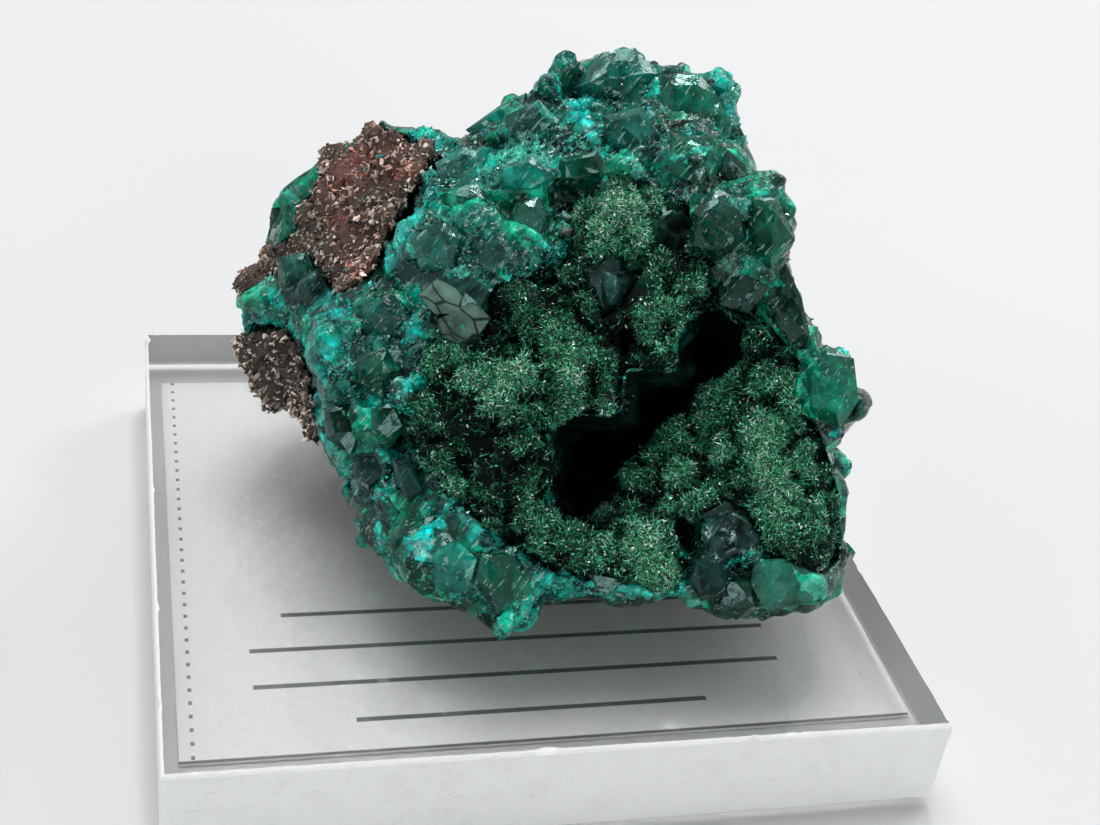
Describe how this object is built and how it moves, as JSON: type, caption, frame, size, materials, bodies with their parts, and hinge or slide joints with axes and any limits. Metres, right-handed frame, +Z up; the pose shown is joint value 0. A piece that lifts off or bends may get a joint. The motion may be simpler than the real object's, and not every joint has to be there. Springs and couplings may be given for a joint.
{
  "type": "dioptase specimen",
  "caption": "Thumbnail mineral specimen: a broken mass of dark green dioptase with a crusted hollow and brown matrix, fixed on a clear slab with a blank paper label under it.",
  "frame": {"origin": "centre of the square slab's footprint, at the surface the label's underside rests on", "axes": "+Z up out of the slab; -Y is the slab's front edge, the side the hollow faces; +X is to the right seen from the front"},
  "size_m": [0.0318, 0.0318, 0.0242],
  "materials": {
    "acrylic_base": "clear acrylic, polished top, sawn frosted edges",
    "paper_label": "matte white paper",
    "matrix_rock": "granular, matte",
    "dioptase_crystals": "glassy crystal faces and fractures",
    "dioptase_rind": "glassy",
    "vug_crust": "velvety crust of tiny needles"
  },
  "bodies": {
    "root": {"acrylic_base": "acrylic_base", "paper_label": "paper_label", "matrix_rock": "matrix_rock", "dioptase_crystals": "dioptase_crystals", "dioptase_rind": "dioptase_rind", "vug_crust": "vug_crust"}
  },
  "joints": []
}
